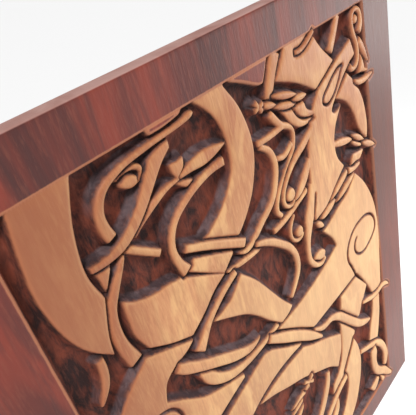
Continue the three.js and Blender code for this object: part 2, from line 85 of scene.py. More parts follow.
# The drawing, as in the part's source: millimetres from the board's top left
# corner, x to the right and y down. A ribbon is its level and a middle line of
# (x, y, width), and an eye is the round end of a curl: (x, y, radius).
RIBBONS = {
    "top_loop": (4, [(218, 44, 3), (214, 45, 5.5), (201, 47, 4.8), (171, 48.5, 5),
        (146, 51.5, 5.5), (129.5, 58.5, 7), (122.5, 70.5, 8), (122.5, 81, 8.5), (125, 90, 9)]),
    "small_curl": (3, [(141, 57.5, 3), (148, 55, 3.8), (157.5, 55.5, 4.2), (162.5, 60, 4.4),
        (160.5, 65, 3.5), (156.5, 67.5, 2)]),
    "small_eye": (3, [(142.5, 61.5, 2), (146, 62.5, 6), (150.5, 63, 9.3), (154.5, 64, 8),
        (157.5, 64.5, 5)]),
    "leaf_stem": (3, [(140, 99.5, 4), (151, 92, 6.5), (164.5, 86.5, 6.5), (177.5, 83, 5),
        (190.5, 82, 3.5)]),
    "leaf_blade": (3, [(190.5, 82, 3.5), (204.5, 80, 9), (218.5, 80, 12), (231, 80, 8),
        (243, 80, 1.2)]),
    "side_bar": (3, [(131, 102.5, 6), (143, 112.5, 6.5), (156, 123, 6.5)]),
    "hook": (4, [(236.5, 92, 8), (221, 92, 7), (206, 94.5, 7), (191, 99.5, 7),
        (177, 107, 7), (169, 117, 7), (166, 129, 7), (168.5, 142, 8), (173, 152, 11)]),
    "left_tendril": (3, [(128, 105, 3), (122, 112, 6), (113, 123, 8), (105.5, 134.5, 9),
        (102.5, 148.5, 9.5), (103, 165, 10), (107.5, 184, 12)]),
    "drop_tendril": (3, [(84, 159.5, 6.5), (83.5, 170, 7), (80.5, 180, 7), (75.5, 188, 5),
        (71.5, 193, 2.5)]),
    "long_bar": (4, [(176, 134, 7), (196, 144.5, 8), (217, 157, 8.5), (238.5, 170.5, 9)]),
    "right_hook": (3, [(229, 175.5, 2), (238, 179, 5.5), (248, 176.5, 7), (264, 167, 8),
        (283, 156, 8), (292.5, 141.5, 8), (296.5, 125.5, 7.5), (291.5, 111.5, 7), (280, 102.5, 5)]),
    "lower_hook": (3, [(210.5, 182, 3), (227, 185, 6), (245, 187.5, 5.5), (263, 189, 3)]),
    "arch": (4, [(250.5, 181.5, 5), (260.5, 186, 7), (273, 194, 8), (285.5, 205, 8),
        (295, 215, 8), (301, 226, 8), (303, 237, 8), (301, 247, 7.5), (294.5, 256.5, 7),
        (282.5, 268.5, 6)]),
    "fan_tendril": (4, [(220, 187.5, 6), (204, 193, 7), (189, 200.5, 7), (177, 208.5, 8),
        (168, 217.5, 10), (160, 225.5, 13)]),
    "loop_bar": (4, [(135, 220, 8), (142, 226.5, 11), (157, 238.5, 11), (176, 251.5, 11.5),
        (196, 264.5, 11.5), (212, 272, 8.5), (221, 273, 5.5), (230, 271, 1.5)]),
    "loop_arc": (3, [(156, 245.5, 8), (162, 258, 12), (172, 269.5, 11.5), (186.5, 278.5, 10),
        (206.5, 283.5, 8), (232, 284, 6.5), (262, 281, 5)]),
    "outer_tendril": (3, [(300.5, 82, 8), (306.5, 90, 7.5), (313.5, 98, 7), (322.5, 103, 6),
        (328, 108.5, 5), (328.5, 115.5, 5), (324.5, 125.5, 6), (314.5, 136.5, 7), (303.5, 146, 7),
        (294, 155, 6.5), (289, 163.5, 6), (288, 171, 6), (293.5, 179, 5.5)]),
    "upper_spur": (3, [(278, 99.5, 6), (296.5, 100.5, 6.5), (316.5, 100, 6)]),
    "lower_spur": (3, [(299.5, 123.5, 5), (310.5, 126, 6.5), (324.5, 119.5, 6)]),
    "upper_curl": (4, [(359, 119, 6), (350, 124, 8), (340, 129, 9.5), (329, 134, 8),
        (317.5, 140.5, 6.5), (307.5, 149, 5.5), (300.5, 158, 5), (298.5, 166.5, 5), (301.5, 173, 4.5),
        (308.5, 176, 4), (314.5, 173, 3.5)], (310, 165.5, 6.8)),
    "side_leaf": (4, [(314.5, 174.5, 3), (325, 168.5, 10), (336, 159, 11), (346, 146, 6)]),
    "middle_bar": (3, [(277.5, 186, 6.5), (292.5, 185, 6.5), (307.5, 182.5, 6), (322.5, 178.5, 6),
        (337.5, 175, 6)]),
    "middle_curl": (3, [(310.5, 187, 3.5), (305, 192.5, 4.5), (301.5, 199, 4.5),
        (301, 206.5, 4.5), (304, 213, 4.5), (310, 217, 4.5), (316.5, 216.5, 4),
        (320.5, 212.5, 3.5)], (314.5, 209.5, 6)),
    "lower_curl": (4, [(344, 171.5, 8), (339.5, 189.5, 13), (333, 204.5, 16), (329, 215.5, 12),
        (325, 227.5, 8.5), (323, 239.5, 7.5), (323.5, 250.5, 7.5), (328, 259, 7),
        (334.5, 265.5, 6), (342.5, 268.5, 5.5), (350.5, 264.5, 5)]),
    "lower_eye": (4, [(330, 254.5, 3), (336, 255, 9), (343, 257.5, 12.5), (350, 261, 8)]),
    "top_strip": (3, [(320.5, 37, 15), (311.5, 53, 11.5), (302.5, 71, 11)]),
    "corner_strip": (3, [(422.5, 37, 9), (415, 49, 9.5), (403, 66, 10)]),
    "cuff": (5, [(347, 47.5, 4.2), (355, 48, 4.8), (365.5, 45, 5), (378.5, 38, 5)]),
    "spiral_stem": (5, [(435.5, 90.5, 7), (439.5, 95, 5.5), (446.5, 94.5, 6), (451.5, 88.5, 6.5),
        (453, 80.5, 6.5), (451.5, 71.5, 6), (448, 62.5, 6), (446, 53.5, 5.5), (447.5, 45.5, 5),
        (453.5, 41.5, 5), (460.5, 43, 5.5), (464, 49.5, 6), (463, 57.5, 8), (458.5, 64.5, 9.5)],
        (453.5, 50.5, 4.6)),
    "beak": (5, [(442.5, 108, 3), (451.5, 112.5, 6.5), (462.5, 114, 7.5), (472.5, 113.5, 6.5),
        (481.5, 112.5, 2)]),
    "beak_ridge": (4, [(460.5, 104, 3), (470.5, 106, 4.5), (482.5, 111.5, 2)]),
    "outer_feather": (5, [(456.5, 70.5, 7), (461.5, 77.5, 8.5), (466.5, 86.5, 7.5), (473.5, 98.5, 2.5)]),
    "inner_feather": (4, [(460.5, 85, 2), (460, 93, 7), (459.5, 100, 12), (459, 105, 15)]),
    "long_strap": (4, [(239.5, 286, 9), (263.5, 305, 13), (286.5, 324, 13), (305.5, 342, 11),
        (323, 358.5, 4)]),
    "long_tendril": (4, [(310.5, 337, 3), (326, 348, 8), (345, 351, 8.5),
        (360, 360.5, 11), (374, 376.5, 11), (389, 394.5, 11.5), (404, 410.5, 11), (418.5, 420, 9),
        (429.5, 424.5, 4)]),
    "leg_tendril": (5, [(414.5, 385.5, 4), (425.5, 389.5, 7), (438.5, 395, 7.5), (453.5, 398, 7.5),
        (467.5, 397.5, 8), (477.5, 401.5, 7), (485.5, 408.5, 3)]),
    "corner_tendril": (4, [(397, 457, 7), (410, 463.5, 8), (426.5, 471.5, 9), (439.5, 479, 10),
        (450, 489, 11), (458, 502, 11.5), (462.5, 515, 12), (463, 528, 13),
        (459.5, 540, 10), (454.5, 546.5, 5)]),
    "leg_tail": (5, [(429.5, 481, 14), (430.5, 492, 17), (429, 504, 14.5), (430.5, 516, 13.5),
        (435.5, 529, 13), (444.5, 540, 13), (454.5, 549, 13), (464.5, 562, 11), (475.5, 575, 6)]),
    "inner_tendril": (4, [(322, 416.5, 7), (318.5, 429.5, 10.5), (310.5, 444.5, 11.5),
        (299.5, 459, 12), (285.5, 472, 12), (263.5, 485, 12), (237.5, 491, 12), (209, 487, 12),
        (183, 473, 12), (159, 459, 12), (130.5, 450, 12), (102.5, 450, 11), (80.5, 460, 10),
        (69.5, 477, 9), (73.5, 494, 8), (85.5, 499, 7), (92.5, 493, 6)], (87, 485, 8)),
    "arm": (4, [(360, 462, 9), (343, 466, 10), (327, 473, 10.5), (309.5, 484, 11),
        (291.5, 499, 12), (267.5, 515, 13), (237.5, 526, 14), (205, 532, 14), (173, 531, 13),
        (143, 533, 12), (114.5, 544.5, 11), (90.5, 551.5, 10), (72.5, 542.5, 9), (67.5, 525, 8),
        (77.5, 514, 7), (88.5, 519, 6)], (84, 527, 8)),
    "inner_arc": (3, [(333.5, 478, 6), (328.5, 492.5, 13), (314.5, 507.5, 15), (294.5, 523.5, 14),
        (270, 535.5, 11), (248, 541.5, 4)]),
    "tail_tendril": (5, [(66.5, 353.5, 5), (84.5, 369.5, 10), (108.5, 389.5, 11),
        (134.5, 413.5, 11), (160.5, 433.5, 11), (186.5, 442, 10), (206.5, 433.5, 8), (212.5, 420.5, 7),
        (207.5, 411, 6), (200.5, 410.5, 5)], (199, 417.5, 7)),
    "left_leaf": (4, [(62.5, 386.5, 2), (69.5, 400.5, 9), (73.5, 416.5, 11), (71.5, 434.5, 2)]),
    "left_curl": (4, [(58.5, 324, 4), (65.5, 338, 7), (77.5, 347, 7), (90.5, 343, 6),
        (91.5, 335, 5)], (83.5, 336, 5)),
}

# A plate is its level and its edge. Each row of the edge starts at a corner and
# runs as a smooth curve to the first point of the next row.
PLATES = {
    "sleeve": (3, [
        [(315.5, 85)],
        [(333.5, 91), (338.5, 100), (346.5, 107.5), (358, 110.5)],
        [(374, 112), (365, 114.5), (352.5, 114.5), (337.5, 111), (324.5, 99.5)]]),
    "sleeve_fold": (4, [
        [(334, 91.5)],
        [(350, 90.5), (353, 99), (359, 103.5)],
        [(372, 107), (362, 109.5), (350, 106.5), (340, 100.5)]]),
    "hoof": (4, [
        [(189.5, 51.5)],
        [(189.5, 57.5), (179, 64.5), (167, 76), (154, 88), (142, 96.5), (130.5, 102), (116.5, 103.5)],
        [(102.5, 102)],
        [(102.5, 97), (118.5, 97), (131.5, 92), (147, 81), (160, 67.5)],
        [(169.5, 56), (179, 53)]]),
    "crescent": (4, [
        [(71.5, 36.5), (66.5, 73), (65.5, 96), (71.5, 129), (80.5, 148)],
        [(94.5, 164.5), (96.5, 149), (104.5, 122)],
        [(104.5, 122), (99.5, 100), (103.5, 68.5)],
        [(114.5, 36.5)]]),
    "wedge": (3, [[(104, 98.5)], [(119, 102.5)], [(107, 120.5)]]),
    "great_ring": (3, [
        [(252, 37), (267, 64), (273, 98.5), (263, 129.5), (249, 147.5)],
        [(233, 160.5)],
        [(195.5, 140), (221.5, 125.5), (240, 104.5), (243.5, 79), (236, 56)],
        [(218.5, 37)]]),
    "bud": (3, [[(188.5, 82), (185.5, 76)], [(184.5, 68.5)], [(192, 69.5)],
        [(199, 68.5), (197, 76)]]),
    "lower_bud": (3, [[(185.5, 84), (194.5, 85.5)], [(204.5, 90)], [(196.5, 93), (190.5, 89)]]),
    "shoulder": (3, [
        [(114, 133.5), (123, 140.5), (138, 146.5), (153, 149)],
        [(165.5, 152.5), (186.5, 166)],
        [(208.5, 180.5), (191.5, 187), (176.5, 197)],
        [(158.5, 206), (139, 196)],
        [(120, 183), (113.5, 165), (113, 149.5)]]),
    "short_band": (3, [[(173.5, 153.5)], [(181.5, 146), (201.5, 156.5)], [(224, 169)],
        [(207.5, 180), (191.5, 168)]]),
    "thigh": (4, [
        [(181, 211.5), (204, 207)],
        [(224, 192.5), (241.5, 213.5), (257.5, 239.5), (269.5, 259.5)],
        [(282.5, 277), (273.5, 281.5)],
        [(261.5, 283.5), (244.5, 265), (232.5, 249.5), (220, 236.5), (201, 223.5)]]),
    "haunch": (3, [
        [(114, 187), (136, 198)],
        [(158.5, 209.5), (149, 214), (135, 216.5), (123, 223)],
        [(117, 238.5), (134, 253.5), (150, 268.5), (166.5, 277.5)],
        [(198.5, 291)],
        [(198.5, 295), (176.5, 300.5), (151, 307), (119, 314), (86.5, 308), (65.5, 285.5), (61.5, 252.5)],
        [(72.5, 220), (90.5, 202)]]),
    "belly": (3, [
        [(254, 562), (206.5, 565), (161.5, 553.5), (123, 524.5), (99, 484), (89.5, 434), (95, 383.5),
            (113, 347), (141, 323), (181.5, 308)],
        [(228, 295), (238, 299), (264, 319)],
        [(288, 336), (264, 333.5), (237, 334), (216.5, 338), (201.5, 343), (175.5, 357),
            (149, 385.5), (131, 418.5), (126, 456), (138, 494.5), (164.5, 526.5), (205.5, 549.5)]]),
    "body": (3, [
        [(254, 286.5), (302.5, 283.5), (342.5, 276)],
        [(373, 266.5), (368, 254.5)],
        [(351.5, 234.5), (365, 232), (384, 225.5), (405, 220)],
        [(427.5, 206), (443.5, 224), (457.5, 247.5), (466, 270.5), (469.5, 303), (468, 353)],
        [(465.5, 393.5), (452.5, 396)],
        [(440.5, 389.5), (432.5, 371.5), (422.5, 354)],
        [(409, 333), (365, 333.5)],
        [(310.5, 334), (282, 310)]]),
    "leg_plate": (3, [[(368, 338)], [(406, 336), (417.5, 350.5)], [(430, 366.5), (417, 381.5)],
        [(401, 401.5), (383, 378.5)], [(365, 356)]]),
    "lower_band": (3, [
        [(205.5, 345), (227, 341.5), (252, 339.5)],
        [(287, 341), (302.5, 352), (332.5, 369.5)],
        [(359, 387.5), (356, 408.5)],
        [(344.5, 431), (327.5, 414.5), (302.5, 397.5), (277, 380.5), (252, 367.5), (227, 354)]]),
    "cross_band": (2, [
        [(362, 370.5), (376, 388.5)],
        [(392, 412), (386, 421)],
        [(356.5, 452.5), (349.5, 458.5)],
        [(326.5, 464.5), (330.5, 449.5), (342.5, 442), (352.5, 429), (358.5, 408)]]),
    "great_arc": (4, [
        [(385, 418.5), (393, 438.5), (396.5, 461), (394, 481), (386, 505), (370, 531),
            (342, 550.5), (306.5, 559.5)],
        [(267.5, 560.5), (301.5, 548.5), (329, 525), (348, 503), (359, 481), (361, 463)],
        [(357, 451)]]),
    "leg_lower": (3, [
        [(440.5, 402.5)],
        [(459.5, 402.5), (456.5, 434), (449.5, 462)],
        [(445.5, 474)],
        [(422.5, 460), (427.5, 441), (435.5, 423.5)]]),
    "mask": (3, [
        [(332.5, 37)],
        [(375, 37), (387, 54)],
        [(409, 75.5)],
        [(377, 93), (344.5, 73)],
        [(314, 60), (322.5, 51)]]),
    "neck_strap": (4, [
        [(360, 105), (373, 92), (392, 83.5), (414, 74.5)],
        [(440.5, 64.5)],
        [(447.5, 82), (422.5, 95)],
        [(399, 114), (387, 123), (368, 119)]]),
    "upright": (4, [
        [(355, 115), (392, 109)],
        [(398, 114.5), (394.5, 119), (398, 123.5), (405, 123)],
        [(413, 120.5)],
        [(406, 127), (398, 137), (393, 151), (395, 169.5)],
        [(406, 185.5), (384, 198.5), (364, 210.5)],
        [(341.5, 215), (341, 193.5), (342.5, 166.5), (346, 139)]]),
    "right_arc": (3, [
        [(405, 111.5)],
        [(430.5, 95), (444.5, 109.5), (456.5, 129.5), (462, 151.5), (462.5, 168)],
        [(459.5, 180), (449.5, 169), (442.5, 157.5), (436.5, 141.5), (424.5, 123.5)]]),
    "clasp": (4, [[(421.5, 186.5)], [(425.5, 182.5)], [(449.5, 187)], [(439, 196), (430.5, 194)],
        [(419.5, 194.5)]]),
    "clasp_knot": (5, [[(413.5, 192), (423.5, 196), (431.5, 196)], [(438.5, 197)],
        [(437.5, 201), (425.5, 202)], [(412.5, 200)]]),
    "toe_left": (3, [[(413, 546.5)], [(434.5, 542.5)], [(441.5, 549.5)], [(433.5, 558), (423.5, 561)]]),
    "toe_right": (3, [[(444.5, 551.5)], [(454.5, 555.5)], [(460.5, 564)], [(447.5, 568)]]),
}

# A braid is a row of leaf-shaped turns, each (x1, y1, x2, y2, width), and a tie
# whose loose ends cross: (x, y, length, angle in degrees).
BRAIDS = {
    "top_braid": ([(291.5, 72, 311.5, 78.5, 6.5), (306, 69.5, 342, 81.5, 7),
        (307.5, 80, 341, 89.5, 7), (334, 84, 356, 87, 7)], (287.5, 71, 13, 20)),
    "right_braid": ([(386, 153, 430.5, 166.5, 9), (427.5, 161, 452.5, 177.5, 7),
        (425.5, 168.5, 449.5, 183, 6), (447.5, 179.5, 476.5, 195, 8)], None),
    "lower_braid": ([(373, 210, 418.5, 192, 8.5), (382.5, 217.5, 425.5, 204, 8),
        (350, 220.5, 383, 213, 9), (342, 218, 355, 229, 7.5)], None),
    "foot_braid": ([(290.5, 398.5, 247.5, 402.5, 7.5), (271, 404.5, 245, 409.5, 5.5),
        (269.5, 413.5, 241.5, 432.5, 8), (259, 429.5, 227, 448, 9)], (284, 393, 20, 5)),
}
TIE_SPREAD = 33
TIE_WIDTHS = (5.5, 3.6, 5.5)
LEAF_SHAPE = ((0, 0.16), (0.25, 0.8), (0.5, 1), (0.75, 0.8), (1, 0.16))

# Lobes of the border that hang into the field
LOBES = {
    "wide_lobe": [[(257.5, 36.5)], [(260.5, 40), (272, 45), (285, 51.5), (293, 55)],
        [(298.5, 55.5), (303, 48)], [(309, 36.5)]],
    "slim_lobe": [[(172, 36.5)], [(175.5, 43), (189.5, 43)], [(205.5, 41)], [(209.5, 36.5)]],
}

# Cut lines in the plates
GROOVES = {
    "hip_spiral": [(405.5, 332.5), (398.5, 315.5), (393, 303.5), (392, 293.5), (394.5, 285.5),
        (399.5, 278.5), (407, 272.5), (417, 269), (429, 268), (440, 269), (450, 273.5),
        (457, 280.5), (460.5, 289.5), (459, 298.5), (452, 305.5), (442.5, 310), (432, 313),
        (423, 312), (415.5, 308), (410.5, 301.5), (409, 294.5), (411.5, 287.5), (415, 284.5)],
    "curl_crease": [(346.5, 185.5), (343.5, 195.5), (340.5, 205.5), (338.5, 214.5)],
    "haunch_spiral": [(116.5, 310.5), (92.5, 297.5), (78.5, 277.5), (80.5, 254.5), (97.5, 241.5),
        (117.5, 247.5), (124.5, 264.5), (115.5, 280.5), (100.5, 279.5), (95.5, 268.5)],
    "strap_drop": [(421, 83), (412, 83.5), (401.5, 87.5), (389, 95), (380.5, 101),
        (379.5, 105.5), (384.5, 109.5), (391, 109.5), (401.5, 104), (410.5, 95), (416.5, 87.5),
        (421, 83.5)],
}


# Curves and outlines, as rows of numbers: one point a row

def smooth_line(points, step=ALONG / 2):
    """A centripetal Catmull-Rom curve through the points, evenly sampled."""
    knots = np.array(points, float)
    ends = 2 * knots[0] - knots[1], 2 * knots[-1] - knots[-2]
    knots = np.vstack([ends[0], knots, ends[1]])
    gaps = np.maximum(np.sqrt(np.linalg.norm(np.diff(knots, axis=0), axis=1)), 1e-3)[:, None]
    pieces = []
    for i in range(1, len(knots) - 2):
        before, here, there, after = knots[i - 1:i + 3]
        g0, g1, g2 = gaps[i - 1:i + 2]
        start = (here - before) / g0 - (there - before) / (g0 + g1) + (there - here) / g1
        end = (there - here) / g1 - (after - here) / (g1 + g2) + (after - there) / g2
        t = np.linspace(0, 1, 24)[:, None]
        pieces.append((2 * t**3 - 3 * t**2 + 1) * here + (t**3 - 2 * t**2 + t) * start * g1
            + (3 * t**2 - 2 * t**3) * there + (t**3 - t**2) * end * g1)
    return even(np.vstack(pieces), step)


def even(line, step):
    """The same line with points at even steps along it."""
    run = np.concatenate([[0], np.cumsum(np.linalg.norm(np.diff(line[:, :2], axis=0), axis=1))])
    count = max(2, int(round(run[-1] / step)) + 1)
    places = np.linspace(0, run[-1], count)
    return np.column_stack([np.interp(places, run, column) for column in line.T])


def across(line, closed=False):
    """Unit vectors across the line at each of its points."""
    if closed:
        along = np.roll(line, -1, axis=0) - np.roll(line, 1, axis=0)
    else:
        along = np.gradient(line, axis=0)
    along = along[:, :2] / np.maximum(np.linalg.norm(along[:, :2], axis=1), 1e-9)[:, None]
    return np.column_stack([along[:, 1], -along[:, 0]])


def ribbon_outline(points):
    middle = smooth_line(points)
    side = across(middle) * middle[:, 2:] / 2
    return np.vstack([middle[:, :2] + side, (middle[:, :2] - side)[::-1]])


def plate_outline(edge):
    rows = []
    for i, row in enumerate(edge):
        corner = edge[(i + 1) % len(edge)][0]
        points = row if row[-1] == corner else [*row, corner]
        if len(points) > 1:
            rows.append(smooth_line(points)[:-1])
    return np.vstack(rows)


def circle_outline(x, y, radius):
    angle = np.linspace(0, 2 * math.pi, max(12, int(4 * radius)), endpoint=False)
    return np.column_stack([x + radius * np.cos(angle), y + radius * np.sin(angle)])


def leaf_outline(x1, y1, x2, y2, width):
    return ribbon_outline([(x1 + (x2 - x1) * along, y1 + (y2 - y1) * along, width * share)
        for along, share in LEAF_SHAPE])


def tie_outlines(x, y, length, angle):
    outlines = []
    for degrees in (angle - TIE_SPREAD, angle + TIE_SPREAD):
        dx = length / 2 * math.cos(math.radians(degrees))
        dy = length / 2 * math.sin(math.radians(degrees))
        places = ((x - dx, y - dy), (x, y), (x + dx, y + dy))
        outlines.append(ribbon_outline([(*at, width) for at, width in zip(places, TIE_WIDTHS)]))
    return outlines


def groove_lines():
    return [smooth_line([(x, y, 0) for x, y in points])[:, :2] for points in GROOVES.values()]


class Form:
    """One carved thing: its level in the weave, its outline and how far its top is domed."""

    def __init__(self, level, outline, dome, reach, border=False):
        self.level = level
        self.top = THICKNESS - LEVEL_DROP[level]
        self.outline = even(np.vstack([outline, outline[:1]]), ALONG)[:-1]
        self.dome = dome
        self.reach = reach
        self.border = border


def carved_forms():
    forms = []
    for level, points, *eye in RIBBONS.values():
        forms.append(Form(level, ribbon_outline(points), 1.5, 4.0))
        forms.extend(Form(level, circle_outline(*place), 1.6, 5.0) for place in eye)
    for level, edge in PLATES.values():
        forms.append(Form(level, plate_outline(edge), 0.9, 7.0))
    for turns, tie in BRAIDS.values():
        for i, turn in enumerate(turns):
            forms.append(Form(5 if i % 2 else 4, leaf_outline(*turn), 1.6, 4.0))
        if tie:
            forms.extend(Form(5, outline, 1.0, 3.0) for outline in tie_outlines(*tie))
    for edge in LOBES.values():
        forms.append(Form(BORDER_LEVEL, plate_outline(edge), 0.2, 4.0, border=True))
    return forms


# Distances

def distance_to_line(points, line):
    """The distance from each point to a line of straight pieces."""
    start, step = line[:-1], np.diff(line, axis=0)
    length = np.maximum((step**2).sum(1), 1e-9)
    nearest = np.full(len(points), np.inf)
    for low in range(0, len(points), 4000):
        part = points[low:low + 4000, None]
        t = np.clip(((part - start) * step).sum(2) / length, 0, 1)
        gap = part - start - t[..., None] * step
        nearest[low:low + 4000] = np.sqrt((gap**2).sum(2).min(1))
    return nearest


def inside(points, outline):
    """Whether each point lies inside the closed outline."""
    result = np.zeros(len(points), bool)
    x, y = points.T
    for (x1, y1), (x2, y2) in zip(outline, np.roll(outline, -1, axis=0)):
        if y1 != y2:
            result ^= ((y1 > y) != (y2 > y)) & (x < (x2 - x1) * (y - y1) / (y2 - y1) + x1)
    return result


def signed_distance(points, outline):
    away = distance_to_line(points, np.vstack([outline, outline[:1]]))
    return np.where(inside(points, outline), away, -away)


def border_distance(points):
    """How far a point lies inside the border, and below zero how far into the field."""
    x, y = points.T
    sides = np.maximum(BORDER_SIDE - x, x - (WIDTH - BORDER_SIDE))
    return np.maximum(sides, np.maximum(BORDER_TOP - y, y - (HEIGHT - BORDER_BOTTOM)))


# The points of the mesh

def offset_rows(outline, form_index):
    normal = across(outline, closed=True)
    if inside(outline[:1] + normal[:1] * 0.2, outline)[0]:
        normal = -normal
    rows = [np.column_stack([outline - normal * offset,
        np.full(len(outline), form_index), np.full(len(outline), offset)]) for offset in OFFSETS]
    return np.vstack(rows)


def field_edge_rows():
    left, right = BORDER_SIDE, WIDTH - BORDER_SIDE
    top, bottom = BORDER_TOP, HEIGHT - BORDER_BOTTOM
    rows = []
    for offset in (3.5, 2.0, 1.0, 0.0, -0.5, -1.1, -1.9, -2.8, -3.9):
        corners = np.array([(left - offset, top - offset), (right + offset, top - offset),
            (right + offset, bottom + offset), (left - offset, bottom + offset),
            (left - offset, top - offset)])
        rows.append(np.vstack([even(corners[i:i + 2], ALONG)[:-1] for i in range(4)]))
    return np.vstack(rows)


def groove_rows():
    rows = []
    for line in groove_lines():
        rows.extend(line + across(line) * offset for offset in GROOVE_OFFSETS)
    return np.vstack(rows)


def grid_points(step, keep):
    xs = np.arange(4, WIDTH - 4, step)
    ys = np.arange(4, HEIGHT - 4, step * 0.87)
    x, y = np.meshgrid(xs, ys)
    x[1::2] += step / 2
    points = np.column_stack([x.ravel(), y.ravel()])
    return points[keep(border_distance(points))]


def perimeter(inset):
    corners = np.array([(inset, inset), (WIDTH - inset, inset), (WIDTH - inset, HEIGHT - inset),
        (inset, HEIGHT - inset), (inset, inset)])
    full = np.array([(0, 0), (WIDTH, 0), (WIDTH, HEIGHT), (0, HEIGHT), (0, 0)])
    counts = [int(np.linalg.norm(full[i + 1] - full[i]) / PERIMETER_STEP) for i in range(4)]
    sides = [np.linspace(corners[i], corners[i + 1], counts[i], endpoint=False) for i in range(4)]
    return np.vstack(sides)


def well_spaced(points):
    """Indices of the points that keep clear of those before them."""
    taken = {}
    kept = []
    for i, (x, y) in enumerate(points):
        column, row = int(x // CLOSEST), int(y // CLOSEST)
        near = ((column + a, row + b) for a in (-1, 0, 1) for b in (-1, 0, 1))
        gaps = ((px - x) ** 2 + (py - y) ** 2 for cell in near for px, py in taken.get(cell, ()))
        if all(gap >= CLOSEST**2 for gap in gaps):
            taken.setdefault((column, row), []).append((x, y))
            kept.append(i)
    return np.array(kept)


def clear_of(points, others, distance):
    """The points that keep the distance from all the others."""
    tree = KDTree(len(others))
    for i, (x, y) in enumerate(others):
        tree.insert((x, y, 0), i)
    tree.balance()
    return points[[tree.find((x, y, 0))[2] > distance for x, y in points]]


# The surface

def wall_profile(d, top, dome, reach, chamfer=0.0):
    """Height of a form's own surface at a signed distance from its outline."""
    within, beyond = np.maximum(d, 0), np.maximum(-d, 0)
    edge = 0.9 * (1 - np.minimum(within / 1.5, 1)) ** 2
    crown = dome * (1 - np.minimum(within / reach, 1)) ** 2
    bevel = chamfer * (1 - np.minimum(within / 1.8, 1))
    steep = 1 - (1 - np.minimum(beyond / WALL_RUN, 1)) ** 1.8
    wall = (top - FLOOR) * steep + 0.5 * np.maximum(beyond - WALL_RUN, 0)
    return top - edge - crown - bevel - wall


def soft_max(a, b, softness):
    blend = np.maximum(softness - np.abs(a - b), 0) / softness
    return np.maximum(a, b) + blend**2 * softness / 4


def wave(points, size, seed):
    """Smooth random waves between about -1 and 1."""
    return np.array([noise.noise((x / size, y / size, seed)) for x, y in points])


def groove_distance(points):
    away = np.full(len(points), 99.0)
    for line in groove_lines():
        low, high = line.min(0) - 6, line.max(0) + 6
        near = np.where(((points > low) & (points < high)).all(1))[0]
        away[near] = np.minimum(away[near], distance_to_line(points[near], line))
    return away


class Carving:
    """The carved front, worked out at a set of points."""

    def __init__(self, points, forms):
        self.points = points
        self.forms = forms
        self.edge = border_distance(points)
        self.height = FLOOR + FLOOR_ROUGHNESS * wave(points * (1, 0.4), 4.0, 3.1)
        self.inside = np.full(len(points), -6.0)
        self.tone = np.full(len(points), 0.5)
        self.border = np.zeros(len(points))
        self.nearest = np.stack([np.full(len(points), NEAR)] * 2)
        self.distances = [self.distance(form) for form in forms]
        for form, (index, d) in zip(forms, self.distances):
            if form.border:
                self.edge[index] = np.maximum(self.edge[index], d)
            self.note_nearest(index, -d)
        self.note_nearest(np.arange(len(points)), -self.edge)
        self.build()

    def note_nearest(self, index, away):
        """Keeps the distances to the two nearest forms, which tell how narrow a gap is."""
        first, second = self.nearest[:, index]
        self.nearest[1, index] = np.minimum(second, np.maximum(first, away))
        self.nearest[0, index] = np.minimum(first, away)

    def distance(self, form):
        low, high = form.outline.min(0) - NEAR, form.outline.max(0) + NEAR
        index = np.where(((self.points > low) & (self.points < high)).all(1))[0]
        return index, signed_distance(self.points[index], form.outline)

    def over(self, level):
        """How far each point lies inside the forms above a level."""
        above = np.full(len(self.points), -99.0)
        for form, (index, d) in zip(self.forms, self.distances):
            if form.level > level and not form.border:
                above[index] = np.maximum(above[index], d)
        return above

    def lay(self, index, surface, inside, tone, border):
        chosen = surface > self.height[index]
        self.height[index] = soft_max(self.height[index], surface, WALL_FOOT)
        self.inside[index[chosen]] = inside[chosen]
        self.tone[index[chosen]] = tone
        self.border[index[chosen]] = border

    def lay_border(self):
        above = self.over(BORDER_LEVEL)
        surface = wall_profile(self.edge, THICKNESS - BORDER_DROP, 0.0, 1.0, chamfer=0.9)
        surface -= DIP_DEPTH * 0.6 * np.clip(1 + above / 3.0, 0, 1) ** 1.6
        inside = np.minimum(self.edge, -above - SEAM * 0.5)
        self.lay(np.arange(len(self.points)), surface, inside, 0.5, 1.0)

    def build(self):
        tones = np.random.default_rng(11).random(len(self.forms))
        for level in sorted({form.level for form in self.forms}):
            above = self.over(level)
            if level == BORDER_LEVEL:
                self.lay_border()
            for form, tone, (index, d) in zip(self.forms, tones, self.distances):
                if form.level != level or form.border:
                    continue
                dip = DIP_DEPTH * np.clip(1 + above[index] / DIP_REACH, 0, 1) ** 1.6
                surface = wall_profile(d, form.top, form.dome, form.reach) - dip
                inside = np.minimum(d, -above[index] - SEAM)
                self.lay(index, surface, inside, tone, 0.0)
        groove = groove_distance(self.points)
        self.height -= GROOVE_DEPTH * np.maximum(1 - groove / GROOVE_HALF, 0)
        self.inside = np.minimum(self.inside, groove - GROOVE_HALF * 0.8)
        flat = np.clip((self.height - FLOOR) / 4, 0, 1)
        self.height += flat * SURFACE_WAVE * wave(self.points, 19.0, 7.7)
        self.height = np.minimum(self.height, THICKNESS)

    def looks(self):
        return {"inside": np.clip(self.inside, -6, 12), "tone": self.tone,
            "border": self.border, "gap": np.clip(self.nearest[1], 0, NEAR)}


def visible_rows(rows, forms):
    """The rows of points that lie at their true offset and that nothing covers."""
    points, source, offset = rows[:, :2], rows[:, 2].astype(int), rows[:, 3]
    level = np.array([form.level for form in forms])[source]
    good = border_distance(points) < np.where(level < BORDER_LEVEL, 0.4, 99)
    for i, form in enumerate(forms):
        low, high = form.outline.min(0) - NEAR, form.outline.max(0) + NEAR
        index = np.where(((points > low) & (points < high)).all(1))[0]
        d = signed_distance(points[index], form.outline)
        mine = source[index] == i
        covered = (d > 0.3) & (form.level >= level[index])
        good[index[np.where(mine, np.abs(d - offset[index]) > 0.16, covered)]] = False
    return rows[good]


